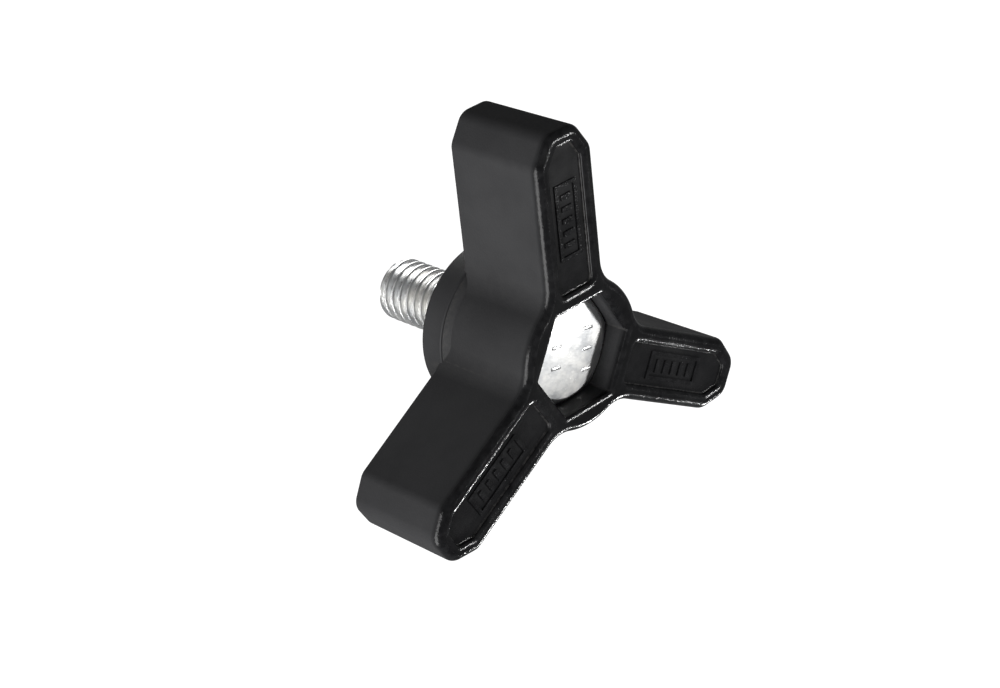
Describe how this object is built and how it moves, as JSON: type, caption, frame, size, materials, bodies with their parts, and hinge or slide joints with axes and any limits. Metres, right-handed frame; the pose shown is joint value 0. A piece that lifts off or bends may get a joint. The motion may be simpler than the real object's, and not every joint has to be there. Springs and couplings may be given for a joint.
{
  "type": "three-wing clamping screw",
  "caption": "Three-wing plastic clamping knob with a hexagon head screw seated in its front pocket and a threaded stud behind.",
  "frame": {"origin": "centre of the collar's rear clamping face, on the axis of the knob", "axes": "+Z along the axis from the clamping face to the front face, the threaded stud along -Z, the first wing along +Y"},
  "size_m": [0.0518, 0.0454, 0.0318],
  "materials": {
    "black_plastic": "satin moulded surface",
    "zinc_steel": "bright zinc plate"
  },
  "bodies": {
    "knob": {"wing_body": "black_plastic"},
    "screw": {"hex_screw": "zinc_steel"}
  },
  "joints": [
    {"name": "screw_slide", "type": "slide", "parent": "knob", "child": "screw", "axis": [0, 0, 1], "range_m": [0, 0.034]}
  ]
}
